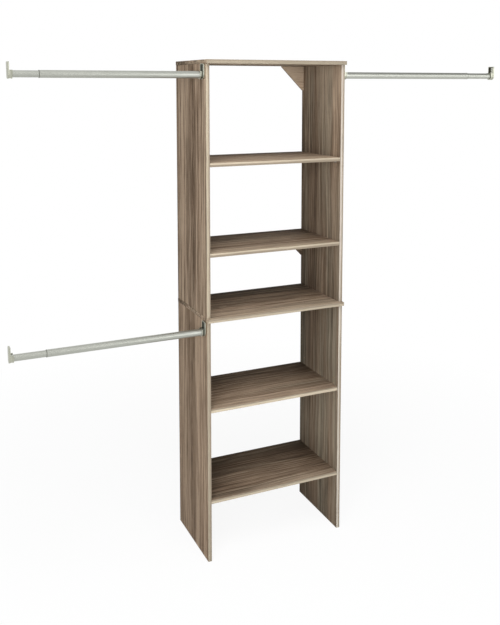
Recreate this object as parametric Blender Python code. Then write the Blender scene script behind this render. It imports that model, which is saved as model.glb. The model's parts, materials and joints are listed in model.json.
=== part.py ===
"""Closet storage tower with three telescoping hang rods.

Two equal laminate units stand one on the other. Rods reach out from the tower to the walls on both sides.
All sizes are in metres, +Z is up and the open front faces -Y.
"""
import math

import bmesh
import bpy
from mathutils import Matrix, Vector

# Clearances
TOUCH_GAP = 0.0003
SHELF_SIDE_GAP = 0.001
CUT_OVERRUN = 0.002

# Tower
BOARD = 0.0159
BOARD_EDGE = 0.0006
UNIT_HEIGHT = 1.04725
SIDE_DEPTH = 0.3546
SIDE_SPREAD = 0.636
TOP_FRONT_OVERHANG = 0.016
TOP_SIDE_OVERHANG = 0.001
SHELF_SETBACK = 0.0016
FIXED_SHELF_HEIGHT = 0.2667
UNITS = 2

# Adjustable shelves, shelf pins and their rows of holes
LOWEST_HOLE_SHELF = 0.6096
HOLE_PITCH = 0.0254
HOLES_IN_ROW = 5
SHELF_HOLE = {"lower": 2, "upper": 1}
HOLE_INSET = 0.037
PEG_RADIUS = 0.0024
PEG_LENGTH = 0.0085
PIN_HEAD = 0.0062
PIN_WIDTH = 0.0086
PIN_HEIGHT = 0.0076
PIN_EDGE = 0.0008

# Gussets at the back corners
GUSSET_LEG = 0.110
GUSSET_BLUNT = 0.003

# Dowels between the panels
DOWEL_RADIUS = 0.004
DOWEL_IN_TOP = 0.0115
DOWEL_IN_SIDE = 0.018
DOWEL_INSET = 0.048
UPPER_DOWEL_INSET = 0.088

# Hang rods. A rod's two tubes are equally long, and bare_length of the inner one shows
TUBE_RADIUS = 0.0143
TUBE_WALL = 0.0011
TUBE_LIP = 0.003
TUBE_LIP_RISE = 0.0006
ROD_INSET = 0.0266
RODS = {
    "left_upper": {"side": -1, "unit": 1, "tube_length": 0.64, "bare_length": 0.094},
    "left_lower": {"side": -1, "unit": 0, "tube_length": 0.64, "bare_length": 0.12},
    "right_upper": {"side": 1, "unit": 1, "tube_length": 0.673, "bare_length": 0.131},
}

# Rod brackets: a shallow tray with an open cup at its foot
TRAY_RISE = 0.044
TRAY_TOP_GAP = 0.0004
TRAY_HALF_WIDTH = 0.0175
TRAY_BASE = 0.002
TRAY_RIM = 0.0022
TRAY_DEPTH = 0.0066
TRAY_CORNER = 0.0045
CUP_WALL = 0.0016
CUP_DEPTH = 0.018
CUP_LIP = 0.004
SCREW_RISES = (0.037, 0.028, 0.019)
SCREW_HEAD_RADIUS = 0.0036
SCREW_HEAD_HEIGHT = 0.0022
SCREW_DOME_SHARE = 0.6
SCREW_SHANK_RADIUS = 0.0019
SCREW_LENGTH = 0.0145

# Sides of round shapes
TUBE_SIDES = 24
CUP_STEPS = TUBE_SIDES // 2
CORNER_STEPS = 3
SMALL_SIDES = 12
HOLE_SIDES = 8

# Sizes worked out from the ones above
SIDE_HEIGHT = UNIT_HEIGHT - BOARD
SIDE_FACE = SIDE_SPREAD / 2
INNER_FACE = SIDE_FACE - BOARD
TOP_DEPTH = SIDE_DEPTH + TOP_FRONT_OVERHANG
TOP_WIDTH = SIDE_SPREAD + 2 * TOP_SIDE_OVERHANG
SHELF_DEPTH = SIDE_DEPTH - SHELF_SETBACK
ROD_Y = ROD_INSET - SIDE_DEPTH
INNER_TUBE_RADIUS = TUBE_RADIUS - TUBE_WALL - TOUCH_GAP
HOLE_ROWS_Y = (HOLE_INSET - SIDE_DEPTH, -HOLE_INSET)
REACHES = {name: rod["tube_length"] + rod["bare_length"] + CUP_DEPTH for name, rod in RODS.items()}
LEFT_REACH = max(REACHES[name] for name, rod in RODS.items() if rod["side"] < 0)
RIGHT_REACH = max(REACHES[name] for name, rod in RODS.items() if rod["side"] > 0)
SET_CENTRE_X = (RIGHT_REACH - LEFT_REACH) / 2
SET_CENTRE_Y = -TOP_DEPTH / 2

MATERIALS = {
    "laminate": ((0.19, 0.14, 0.105), 0.55, 0.0),
    "dowel_wood": ((0.55, 0.40, 0.24), 0.7, 0.0),
    "bracket_metal": ((0.50, 0.50, 0.44), 0.38, 1.0),
    "rod_metal": ((0.66, 0.66, 0.65), 0.25, 1.0),
    "screw_metal": ((0.10, 0.10, 0.095), 0.4, 1.0),
    "pin_metal": ((0.62, 0.60, 0.56), 0.3, 1.0),
}


def clear_scene():
    for item in list(bpy.data.objects):
        bpy.data.objects.remove(item, do_unlink=True)


def material(name):
    """Return the named material, making it on first use."""
    if name in bpy.data.materials:
        return bpy.data.materials[name]
    colour, roughness, metallic = MATERIALS[name]
    made = bpy.data.materials.new(name)
    made.use_nodes = True
    shader = made.node_tree.nodes["Principled BSDF"]
    shader.inputs["Base Color"].default_value = (*colour, 1.0)
    shader.inputs["Roughness"].default_value = roughness
    shader.inputs["Metallic"].default_value = metallic
    return made


def make_object(name, shape, material_name, place=(0.0, 0.0, 0.0), turn=0.0):
    """Turn a bmesh into a named object, placed by its location and a turn about Z."""
    bmesh.ops.recalc_face_normals(shape, faces=shape.faces[:])
    mesh = bpy.data.meshes.new(name)
    shape.to_mesh(mesh)
    shape.free()
    mesh.materials.append(material(material_name))
    piece = bpy.data.objects.new(name, mesh)
    piece.location = place
    piece.rotation_euler = (0.0, 0.0, turn)
    piece.parent = SET_ORIGIN
    bpy.context.collection.objects.link(piece)
    return piece


def smooth_round(piece, angle=math.radians(35)):
    """Shade the round faces of a piece smooth and keep its corners crisp."""
    piece.data.shade_smooth()
    piece.data.set_sharp_from_angle(angle=angle)


def box_shape(low, high):
    """A box between two corners."""
    shape = bmesh.new()
    low, high = Vector(low), Vector(high)
    size = high - low
    place = Matrix.Translation((low + high) / 2) @ Matrix.Diagonal((*size, 1.0))
    bmesh.ops.create_cube(shape, size=1.0, matrix=place)
    return shape


def board_shape(low, high):
    """A board with its edges eased."""
    shape = box_shape(low, high)
    bmesh.ops.bevel(shape, geom=shape.edges[:], offset=BOARD_EDGE, segments=1, affect="EDGES")
    return shape


def prism_shape(points, start, end):
    """A solid with an outline in Y and Z, drawn out along X from start to end."""
    shape = bmesh.new()
    corners = [shape.verts.new((start, y, z)) for y, z in points]
    face = shape.faces.new(corners)
    drawn = bmesh.ops.extrude_face_region(shape, geom=[face])
    moved = [item for item in drawn["geom"] if isinstance(item, bmesh.types.BMVert)]
    bmesh.ops.translate(shape, verts=moved, vec=(end - start, 0.0, 0.0))
    return shape


def circle(radius, sides, centre=(0.0, 0.0)):
    """Points of a circle in Y and Z, with a point at each end of its width."""
    turns = [2 * math.pi * step / sides for step in range(sides)]
    return [(centre[0] + radius * math.cos(turn), centre[1] + radius * math.sin(turn)) for turn in turns]


def add_shape(shape, other):
    """Move the faces of another bmesh into this one."""
    holder = bpy.data.meshes.new("holder")
    other.to_mesh(holder)
    other.free()
    shape.from_mesh(holder)
    bpy.data.meshes.remove(holder)


def combine(piece, shapes, operation):
    """Cut shapes out of a piece, or fuse them to it, and keep the result as its mesh."""
    for shape in shapes:
        helper = make_object("helper", shape, "laminate", piece.location, piece.rotation_euler.z)
        step = piece.modifiers.new("combine", "BOOLEAN")
        step.object = helper
        step.operation = operation
        step.solver = "EXACT"
        bpy.context.view_layer.update()
        ready = piece.evaluated_get(bpy.context.evaluated_depsgraph_get())
        result = bpy.data.meshes.new_from_object(ready)
        piece.modifiers.clear()
        old = piece.data
        piece.data = result
        result.name = piece.name
        bpy.data.meshes.remove(old)
        helper_mesh = helper.data
        bpy.data.objects.remove(helper)
        bpy.data.meshes.remove(helper_mesh)


def upright_rod(shape, radius, sides, x, y, low, high):
    """Add an upright round rod to a bmesh."""
    place = Matrix.Translation((x, y, (low + high) / 2))
    bmesh.ops.create_cone(shape, cap_ends=True, segments=sides, radius1=radius, radius2=radius,
                          depth=high - low, matrix=place)


def unit_name(unit):
    return "upper" if unit else "lower"


def side_name(side):
    return "left" if side < 0 else "right"


def shelf_height(unit):
    """Height of an adjustable shelf's top above its unit's foot."""
    return LOWEST_HOLE_SHELF + SHELF_HOLE[unit_name(unit)] * HOLE_PITCH


def hole_height(row_place):
    """Height of a shelf pin hole's centre above the unit's foot."""
    shelf_top = LOWEST_HOLE_SHELF + row_place * HOLE_PITCH
    return shelf_top - BOARD - TOUCH_GAP - PIN_HEIGHT / 2


def rod_height(unit):
    """Height of a rod's axis: its bracket fits right under the panel above it."""
    return (unit + 1) * UNIT_HEIGHT - BOARD - TRAY_TOP_GAP - TRAY_RISE


def panel_holes(side, unit):
    """Blind holes of a side panel, as one bmesh: shelf pins, dowels and bracket screws."""
    holes = bmesh.new()
    base = unit * UNIT_HEIGHT
    inner = side * INNER_FACE
    pin_depth = side * (PEG_LENGTH + TOUCH_GAP)
    for row_y in HOLE_ROWS_Y:
        for row_place in range(HOLES_IN_ROW):
            centre = (row_y, base + hole_height(row_place))
            rim = circle(PEG_RADIUS + TOUCH_GAP, HOLE_SIDES, centre)
            add_shape(holes, prism_shape(rim, inner - side * CUT_OVERRUN, inner + pin_depth))
    middle = side * (INNER_FACE + BOARD / 2)
    top = base + SIDE_HEIGHT
    for y in dowel_places(DOWEL_INSET):
        upright_rod(holes, DOWEL_RADIUS + TOUCH_GAP, SMALL_SIDES, middle, y,
                    top - DOWEL_IN_SIDE - 2 * TOUCH_GAP, top + CUT_OVERRUN)
    if unit:
        for y in dowel_places(UPPER_DOWEL_INSET):
            upright_rod(holes, DOWEL_RADIUS + TOUCH_GAP, SMALL_SIDES, middle, y,
                        base - CUT_OVERRUN, base + DOWEL_IN_SIDE + 2 * TOUCH_GAP)
    for rod in RODS.values():
        if (rod["side"], rod["unit"]) == (side, unit):
            outer = side * SIDE_FACE
            depth = SCREW_LENGTH - TRAY_BASE
            for rise in SCREW_RISES:
                rim = circle(SCREW_SHANK_RADIUS + TOUCH_GAP, HOLE_SIDES, (ROD_Y, rod_height(unit) + rise))
                add_shape(holes, prism_shape(rim, outer + side * CUT_OVERRUN, outer - side * depth))
    bmesh.ops.recalc_face_normals(holes, faces=holes.faces[:])
    return holes


def dowel_places(inset):
    """Places of two dowels along the depth of a side panel."""
    return (inset - SIDE_DEPTH, -inset)


def make_side_panel(side, unit):
    base = unit * UNIT_HEIGHT + (TOUCH_GAP if unit else 0.0)
    top = unit * UNIT_HEIGHT + SIDE_HEIGHT - TOUCH_GAP
    low_x, high_x = sorted((side * INNER_FACE, side * SIDE_FACE))
    shape = board_shape((low_x, -SIDE_DEPTH, base), (high_x, 0.0, top))
    name = f"{unit_name(unit)}_{side_name(side)}_side_panel"
    panel = make_object(name, shape, "laminate")
    combine(panel, [panel_holes(side, unit)], "DIFFERENCE")


def make_top_panel(unit):
    """The panel on top of a unit. The lower unit's also carries the upper unit."""
    top = (unit + 1) * UNIT_HEIGHT
    half = TOP_WIDTH / 2
    shape = board_shape((-half, -TOP_DEPTH, top - BOARD), (half, 0.0, top))
    panel = make_object("top_panel" if unit else "middle_panel", shape, "laminate")
    holes = bmesh.new()
    for side in (-1, 1):
        middle = side * (INNER_FACE + BOARD / 2)
        for y in dowel_places(DOWEL_INSET):
            upright_rod(holes, DOWEL_RADIUS + TOUCH_GAP, SMALL_SIDES, middle, y,
                        top - BOARD - CUT_OVERRUN, top - BOARD + DOWEL_IN_TOP + TOUCH_GAP)
        if unit == 0:
            for y in dowel_places(UPPER_DOWEL_INSET):
                upright_rod(holes, DOWEL_RADIUS + TOUCH_GAP, SMALL_SIDES, middle, y,
                            top - DOWEL_IN_TOP - TOUCH_GAP, top + CUT_OVERRUN)
    combine(panel, [holes], "DIFFERENCE")


def make_shelf(name, unit, height, side_gap):
    half = INNER_FACE - side_gap
    top = unit * UNIT_HEIGHT + height
    shape = board_shape((-half, -SHELF_DEPTH, top - BOARD), (half, 0.0, top))
    make_object(name, shape, "laminate")


def make_gusset(name, side, underside):
    """A triangular board in a back corner. Its back lies on the wall."""
    leg, blunt = GUSSET_LEG, GUSSET_BLUNT
    outline = [(0, 0), (leg, 0), (leg, blunt), (blunt, leg), (0, leg)]
    shape = bmesh.new()
    corner_x = side * (INNER_FACE - TOUCH_GAP)
    corner_z = underside - TOUCH_GAP
    corners = [shape.verts.new((corner_x - side * across, 0.0, corner_z - down)) for across, down in outline]
    face = shape.faces.new(corners)
    drawn = bmesh.ops.extrude_face_region(shape, geom=[face])
    moved = [item for item in drawn["geom"] if isinstance(item, bmesh.types.BMVert)]
    bmesh.ops.translate(shape, verts=moved, vec=(0.0, -BOARD, 0.0))
    bmesh.ops.bevel(shape, geom=shape.edges[:], offset=BOARD_EDGE, segments=1, affect="EDGES")
    make_object(name, shape, "laminate")


def make_shelf_pin(name, side, y, height):
    """A peg in a side panel's hole, with a flat-topped head that the shelf lies on."""
    head = box_shape((-PIN_HEAD - TOUCH_GAP, -PIN_WIDTH / 2, -PIN_HEIGHT / 2),
                     (-TOUCH_GAP, PIN_WIDTH / 2, PIN_HEIGHT / 2))
    bmesh.ops.bevel(head, geom=head.edges[:], offset=PIN_EDGE, segments=1, affect="EDGES")
    turn = 0.0 if side > 0 else math.pi
    pin = make_object(name, head, "pin_metal", (side * INNER_FACE, y, height), turn)
    peg = prism_shape(circle(PEG_RADIUS, HOLE_SIDES), -PIN_HEAD / 2, PEG_LENGTH)
    combine(pin, [peg], "UNION")
    smooth_round(pin)


def make_dowel(name, x, y, low, high):
    shape = bmesh.new()
    upright_rod(shape, DOWEL_RADIUS, SMALL_SIDES, x, y, low, high)
    smooth_round(make_object(name, shape, "dowel_wood"))


def cup_outline(half_width, top):
    """A U in Y and Z around the rod's axis: a half circle with straight sides up to top."""
    turns = [math.pi + math.pi * step / CUP_STEPS for step in range(CUP_STEPS + 1)]
    points = [(half_width * math.cos(turn), half_width * math.sin(turn)) for turn in turns]
    return points + [(half_width, top), (-half_width, top)]


def tray_outline(half_width, rise, corner):
    """The tray's outline: a half circle at the foot and rounded corners at the top."""
    points = cup_outline(half_width, rise)[:-2]
    for middle, start in ((half_width - corner, 0.0), (corner - half_width, math.pi / 2)):
        for step in range(CORNER_STEPS + 1):
            turn = start + math.pi / 2 * step / CORNER_STEPS
            points.append((middle + corner * math.cos(turn), rise - corner + corner * math.sin(turn)))
    return points


def make_bracket(name, place, turn, held_radius):
    """A rod bracket. Its back lies on the panel or wall, and its cup opens away from it."""
    bore = held_radius + TOUCH_GAP
    cup_radius = TUBE_RADIUS + TOUCH_GAP + CUP_WALL
    cup_top = TUBE_RADIUS
    tray = prism_shape(tray_outline(TRAY_HALF_WIDTH, TRAY_RISE, TRAY_CORNER), 0.0, TRAY_DEPTH)
    bracket = make_object(name, tray, "bracket_metal", place, turn)
    inner_half = TRAY_HALF_WIDTH - TRAY_RIM
    hollow = prism_shape(tray_outline(inner_half, TRAY_RISE - TRAY_RIM, TRAY_CORNER - TRAY_RIM),
                         TRAY_BASE, TRAY_DEPTH + CUT_OVERRUN)
    cup = prism_shape(cup_outline(cup_radius, cup_top), TRAY_BASE / 2, CUP_DEPTH)
    lip = prism_shape(cup_outline(TRAY_HALF_WIDTH, cup_top), CUP_DEPTH - CUP_LIP, CUP_DEPTH)
    channel = prism_shape(cup_outline(bore, cup_top + CUT_OVERRUN), TRAY_BASE, CUP_DEPTH + CUT_OVERRUN)
    holes = bmesh.new()
    for rise in SCREW_RISES:
        rim = circle(SCREW_SHANK_RADIUS + TOUCH_GAP, HOLE_SIDES, (0.0, rise))
        add_shape(holes, prism_shape(rim, -CUT_OVERRUN, TRAY_BASE + CUT_OVERRUN))
    bmesh.ops.recalc_face_normals(holes, faces=holes.faces[:])
    combine(bracket, [hollow], "DIFFERENCE")
    combine(bracket, [cup, lip], "UNION")
    combine(bracket, [channel, holes], "DIFFERENCE")
    smooth_round(bracket)


def make_screw(name, place, turn):
    """A bracket screw: a domed head on the tray's floor and a shank into the side panel."""
    shape = bmesh.new()
    seat = TRAY_BASE + TOUCH_GAP
    rim = seat + SCREW_HEAD_HEIGHT * SCREW_DOME_SHARE
    crown = seat + SCREW_HEAD_HEIGHT
    rings = [
        (crown, SCREW_HEAD_RADIUS * SCREW_DOME_SHARE),
        (rim, SCREW_HEAD_RADIUS),
        (seat, SCREW_HEAD_RADIUS),
        (seat, SCREW_SHANK_RADIUS),
        (seat - SCREW_LENGTH, SCREW_SHANK_RADIUS),
    ]
    loops = [[shape.verts.new((x, y, z)) for y, z in circle(radius, SMALL_SIDES)] for x, radius in rings]
    for loop, following in zip(loops, loops[1:]):
        for index in range(SMALL_SIDES):
            after = (index + 1) % SMALL_SIDES
            shape.faces.new((loop[index], loop[after], following[after], following[index]))
    shape.faces.new(loops[0])
    shape.faces.new(loops[-1])
    smooth_round(make_object(name, shape, "screw_metal", place, turn))


def make_tube(name, radius, start, end, place, turn, lip_rise=0.0):
    """A tube along X, open at both ends. An outer tube has a raised lip round its free end."""
    shape = bmesh.new()
    bore = radius - TUBE_WALL
    rings = [(start, radius), (end, radius), (end, bore), (start, bore)]
    if lip_rise:
        lip_radius = radius + lip_rise
        rings[1:2] = [(end - TUBE_LIP, radius), (end - TUBE_LIP, lip_radius), (end, lip_radius)]
    loops = [[shape.verts.new((x, y, z)) for y, z in circle(r, TUBE_SIDES)] for x, r in rings]
    for loop, following in zip(loops, loops[1:] + loops[:1]):
        for index in range(TUBE_SIDES):
            after = (index + 1) % TUBE_SIDES
            shape.faces.new((loop[index], loop[after], following[after], following[index]))
    smooth_round(make_object(name, shape, "rod_metal", place, turn))


def make_rod(rod_name):
    """One hang rod with its two brackets. It is drawn along +X and turned to its side of the tower."""
    rod = RODS[rod_name]
    name = f"{rod_name}_rod"
    side, length = rod["side"], rod["tube_length"]
    height = rod_height(rod["unit"])
    turn = 0.0 if side > 0 else math.pi
    back_turn = math.pi - turn
    tower_face = (side * (SIDE_FACE + TOUCH_GAP), ROD_Y, height)
    wall_face = (side * (SIDE_FACE + REACHES[rod_name]), ROD_Y, height)
    make_bracket(f"{name}_tower_bracket", tower_face, turn, TUBE_RADIUS)
    make_bracket(f"{name}_wall_bracket", wall_face, back_turn, INNER_TUBE_RADIUS)
    seat = TRAY_BASE + TOUCH_GAP
    make_tube(f"{name}_outer_tube", TUBE_RADIUS, seat, length, tower_face, turn, TUBE_LIP_RISE)
    make_tube(f"{name}_inner_tube", INNER_TUBE_RADIUS, seat, length, wall_face, back_turn)
    for number, rise in enumerate(SCREW_RISES, start=1):
        make_screw(f"{name}_bracket_screw_{number}", (tower_face[0], ROD_Y, height + rise), turn)


def make_tower():
    """All boards, gussets, dowels and shelf pins."""
    for unit in range(UNITS):
        base = unit * UNIT_HEIGHT
        label = unit_name(unit)
        make_top_panel(unit)
        make_shelf(f"{label}_fixed_shelf", unit, FIXED_SHELF_HEIGHT, TOUCH_GAP)
        make_shelf(f"{label}_adjustable_shelf", unit, shelf_height(unit), SHELF_SIDE_GAP)
        for side in (-1, 1):
            end = f"{label}_{side_name(side)}"
            make_side_panel(side, unit)
            make_gusset(f"{end}_top_gusset", side, base + SIDE_HEIGHT)
            make_gusset(f"{end}_shelf_gusset", side, base + FIXED_SHELF_HEIGHT - BOARD)
            pin_height = base + hole_height(SHELF_HOLE[label])
            middle = side * (INNER_FACE + BOARD / 2)
            joint = base + SIDE_HEIGHT
            for place, row_y, dowel_y in zip(("front", "back"), HOLE_ROWS_Y, dowel_places(DOWEL_INSET)):
                make_shelf_pin(f"{end}_{place}_shelf_pin", side, row_y, pin_height)
                make_dowel(f"{end}_{place}_top_dowel", middle, dowel_y,
                           joint - DOWEL_IN_SIDE, joint + DOWEL_IN_TOP)
            if unit:
                for place, dowel_y in zip(("front", "back"), dowel_places(UPPER_DOWEL_INSET)):
                    make_dowel(f"{end}_{place}_foot_dowel", middle, dowel_y,
                               base - DOWEL_IN_TOP, base + DOWEL_IN_SIDE)


clear_scene()
SET_ORIGIN = bpy.data.objects.new("set_origin", None)
SET_ORIGIN.location = (-SET_CENTRE_X, -SET_CENTRE_Y, 0.0)
bpy.context.collection.objects.link(SET_ORIGIN)
make_tower()
for rod in RODS:
    make_rod(rod)
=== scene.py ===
import json
import math

import bpy
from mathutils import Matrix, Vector

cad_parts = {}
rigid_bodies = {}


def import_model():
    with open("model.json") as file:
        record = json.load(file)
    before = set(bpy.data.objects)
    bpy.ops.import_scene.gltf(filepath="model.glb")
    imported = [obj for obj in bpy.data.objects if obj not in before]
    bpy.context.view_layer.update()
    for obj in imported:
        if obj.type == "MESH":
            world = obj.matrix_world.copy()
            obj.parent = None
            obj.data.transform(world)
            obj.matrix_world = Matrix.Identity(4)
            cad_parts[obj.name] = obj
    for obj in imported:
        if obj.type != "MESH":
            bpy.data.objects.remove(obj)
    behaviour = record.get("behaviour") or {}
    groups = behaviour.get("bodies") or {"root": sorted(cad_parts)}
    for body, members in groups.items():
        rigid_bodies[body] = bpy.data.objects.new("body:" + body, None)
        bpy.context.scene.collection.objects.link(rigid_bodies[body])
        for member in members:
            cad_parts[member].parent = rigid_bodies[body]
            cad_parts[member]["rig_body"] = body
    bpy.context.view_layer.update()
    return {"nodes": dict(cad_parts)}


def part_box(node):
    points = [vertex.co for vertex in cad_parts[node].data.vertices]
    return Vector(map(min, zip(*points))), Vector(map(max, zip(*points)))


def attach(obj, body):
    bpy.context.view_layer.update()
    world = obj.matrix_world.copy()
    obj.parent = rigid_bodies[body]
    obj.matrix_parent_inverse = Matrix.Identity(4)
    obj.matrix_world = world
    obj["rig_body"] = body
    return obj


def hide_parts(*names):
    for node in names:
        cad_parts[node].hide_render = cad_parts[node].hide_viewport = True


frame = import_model()
print("frame loaded:", len(frame["nodes"]), "solids")

mergeDistance = 0.00001  # points closer than this become one
slack = 0.0001  # moves a limit a little, so that what lies on it is surely inside


# small helpers
def deselectAll():
    bpy.ops.object.select_all(action="DESELECT")


def activate(piece):
    deselectAll()
    piece.select_set(True)
    bpy.context.view_layer.objects.active = piece


def applyPlace(piece):
    activate(piece)
    bpy.ops.object.transform_apply(location=True, rotation=True, scale=True)


def startEdit(piece, mode="FACE"):
    activate(piece)
    bpy.ops.object.mode_set(mode="EDIT")
    bpy.ops.mesh.select_mode(type=mode)


def endEdit():
    bpy.ops.object.mode_set(mode="OBJECT")


def selectWhere(piece, kind, test):
    # leaves edit mode, marks the parts that pass the test, and goes back in
    bpy.ops.mesh.select_all(action="DESELECT")
    endEdit()
    for part in getattr(piece.data, kind):
        part.select = test(part)
    bpy.ops.object.mode_set(mode="EDIT")


def applyModifier(piece, kind, **settings):
    step = piece.modifiers.new(kind.lower(), kind)
    for key, value in settings.items():
        setattr(step, key, value)
    activate(piece)
    bpy.ops.object.modifier_apply(modifier=step.name)


def combine(piece, other, operation):
    applyModifier(piece, "BOOLEAN", object=other, operation=operation, solver="EXACT",
                  material_mode="TRANSFER")
    bpy.data.objects.remove(other, do_unlink=True)


def joinPieces(pieces):
    deselectAll()
    for piece in pieces:
        piece.select_set(True)
    bpy.context.view_layer.objects.active = pieces[0]
    bpy.ops.object.join()
    return pieces[0]


def addCylinder(radius, low, high, axis, centre, sides):
    # a cylinder along X or Z that cuts a hole
    place = Vector(centre)
    place["XYZ".index(axis)] = (low + high) / 2
    deselectAll()
    turn = (0, math.pi / 2, 0) if axis == "X" else (0, 0, 0)
    bpy.ops.mesh.primitive_cylinder_add(vertices=sides, radius=radius, depth=high - low,
                                        location=place, rotation=turn)
    piece = bpy.context.object
    applyPlace(piece)
    return piece


def addBlock(low, high):
    low, high = Vector(low), Vector(high)
    deselectAll()
    bpy.ops.mesh.primitive_cube_add(size=1, location=(low + high) / 2, scale=high - low)
    piece = bpy.context.object
    applyPlace(piece)
    return piece


def roundEdges(piece, radius, steps):
    startEdit(piece, "EDGE")
    bpy.ops.mesh.select_all(action="SELECT")
    bpy.ops.mesh.bevel(offset=radius, offset_type="OFFSET", segments=steps, profile=0.5, affect="EDGES")
    endEdit()


def finishPiece(piece, name, node, materials, smoothAngle=30):
    piece.name = name
    piece.data.name = name
    for material in materials[len(piece.data.materials):]:
        piece.data.materials.append(material)
    activate(piece)
    bpy.ops.object.shade_smooth_by_angle(angle=math.radians(smoothAngle))
    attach(piece, frame["nodes"][node]["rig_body"])
    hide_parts(node)


# the nodes of one material or of the world
class Graph:
    def __init__(self, owner):
        self.owner = owner
        owner.use_nodes = True
        self.nodes = owner.node_tree.nodes
        self.links = owner.node_tree.links
        self.shader = self.nodes.get("Principled BSDF")

    def link(self, source, target):
        if isinstance(source, (int, float)):
            target.default_value = source
        else:
            self.links.new(source, target)

    def math(self, operation, first, second=0.0, clamp=False):
        node = self.nodes.new("ShaderNodeMath")
        node.operation = operation
        node.use_clamp = clamp
        self.link(first, node.inputs[0])
        self.link(second, node.inputs[1])
        return node.outputs[0]

    def distance(self, first, second):
        # how far a spot is from the middle, from its distances along two axes
        squares = [self.math("MULTIPLY", value, value) for value in (first, second)]
        return self.math("SQRT", self.math("ADD", *squares))

    def axes(self, space="Object"):
        spot = self.nodes.new("ShaderNodeTexCoord")
        split = self.nodes.new("ShaderNodeSeparateXYZ")
        self.links.new(spot.outputs[space], split.inputs[0])
        return dict(zip("XYZ", split.outputs))

    def vector(self, x, y, z):
        node = self.nodes.new("ShaderNodeCombineXYZ")
        for source, target in zip((x, y, z), node.inputs):
            self.link(source, target)
        return node.outputs[0]

    def stretched(self, along, across, through, scale):
        alongScale, acrossScale = scale
        return self.vector(self.math("MULTIPLY", along, alongScale),
                           self.math("MULTIPLY", across, acrossScale),
                           self.math("MULTIPLY", through, acrossScale))

    def noise(self, place, scale=1.0, detail=2.0, roughness=0.5, line=False):
        # on a line the noise runs along one number, and else in space
        node = self.nodes.new("ShaderNodeTexNoise")
        node.noise_dimensions = "1D" if line else "3D"
        self.links.new(place, node.inputs["W" if line else "Vector"])
        node.inputs["Scale"].default_value = scale
        node.inputs["Detail"].default_value = detail
        node.inputs["Roughness"].default_value = roughness
        return node.outputs[0]

    def ramp(self, value, stops):
        node = self.nodes.new("ShaderNodeValToRGB")
        self.link(value, node.inputs[0])
        points = node.color_ramp.elements
        while len(points) < len(stops):
            points.new(0.5)
        for point, (place, colour) in zip(points, stops):
            point.position = place
            point.color = (*colour, 1.0)
        return node.outputs[0]

    def greyRamp(self, value, stops):
        return self.ramp(value, [(place, (grey,) * 3) for place, grey in stops])

    def mapRange(self, value, source, target):
        # moves a value from one range to another, and keeps it inside
        node = self.nodes.new("ShaderNodeMapRange")
        for part, entry in zip((value, *source, *target), node.inputs):
            self.link(part, entry)
        return node.outputs[0]

    def mixColours(self, amount, first, second, blend="MIX"):
        node = self.nodes.new("ShaderNodeMix")
        node.data_type = "RGBA"
        node.blend_type = blend
        self.link(amount, node.inputs[0])
        for source, target in ((first, node.inputs[6]), (second, node.inputs[7])):
            if isinstance(source, tuple):
                target.default_value = (*source, 1.0)
            else:
                self.links.new(source, target)
        return node.outputs[2]

    def setColour(self, colour):
        self.links.new(colour, self.shader.inputs["Base Color"])

    def setRoughness(self, value, least, spread):
        rough = self.math("ADD", self.math("MULTIPLY", value, spread), least)
        self.links.new(rough, self.shader.inputs["Roughness"])

    def bump(self, height, strength, distance):
        node = self.nodes.new("ShaderNodeBump")
        node.inputs["Strength"].default_value = strength
        node.inputs["Distance"].default_value = distance
        self.links.new(height, node.inputs["Height"])
        self.links.new(node.outputs[0], self.shader.inputs["Normal"])


def newGraph(name):
    return Graph(bpy.data.materials.new(name))


# wood print laminate: fine streaks that bend round the heart of a log
laminateLook = {
    "sheen": 0.01,
    "roughness": (0.58, 0.16),  # the least, and what the fibres add
    "dark": (0.084, 0.055, 0.037),
    "middle": (0.230, 0.158, 0.108),
    "light": (0.398, 0.296, 0.214),
    "toneStops": (0.36, 0.50, 0.64),  # where the print is dark, middle and light
    "grey": (0.210, 0.175, 0.130),
    "greyStops": [(0.42, 0.3), (0.62, 1.0)],
    "poreStops": [(0.30, 0.45), (0.40, 0.0)],
    "veinStops": [(0.0, 0.0), (0.16, 0.85), (0.6, 0.6), (0.97, 0.35), (1.0, 0.0)],
    "veinCount": 9.0,
    "waver": 0.024,  # how far the streaks bend to each side, in metres
    "noises": {  # each scale is along the grain and across it, per metre
        "waver": {"scale": (1.6, 5.0), "detail": 3.0, "roughness": 0.55},
        "streaks": {"scale": (2.4, 125.0), "detail": 4.0, "roughness": 0.6},
        "fibres": {"scale": (9.0, 420.0), "detail": 3.0, "roughness": 0.6},
        "veins": {"scale": (0.6, 11.0), "detail": 2.0, "roughness": 0.45},
        "grey": {"scale": (0.9, 13.0), "detail": 3.0, "roughness": 0.5},
        "pores": {"scale": (34.0, 1000.0), "detail": 1.0, "roughness": 0.5},
    },
    "lines": {  # the seed times the board's shift gives each board lines of its own
        "rings": {"perMetre": 50.0, "seed": 7, "detail": 5.0, "roughness": 0.68},
        "broad": {"perMetre": 12.0, "seed": 5, "detail": 2.0, "roughness": 0.5},
    },
    # how much each pattern adds to the contrast
    "shares": {"rings": 0.50, "broad": 0.36, "streaks": 1.60, "fibres": 0.90, "veins": 0.10},
    "fibreHeight": 0.6,
    "bump": (0.35, 0.00015),  # the strength, and the height in metres
}


def printAndShadeTone(graph, place, stops):
    # where the board is darker or lighter, as (place on the board, tone) from one edge to the other: partly
    # print drift, partly painted light and shade
    start, end = stops[0][0], stops[-1][0]
    share = graph.math("DIVIDE", graph.math("SUBTRACT", place, start), end - start)
    ramp = graph.greyRamp(share, [((spot - start) / (end - start), 0.5 + shade) for spot, shade in stops])
    return graph.math("SUBTRACT", ramp, 0.5)


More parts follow.
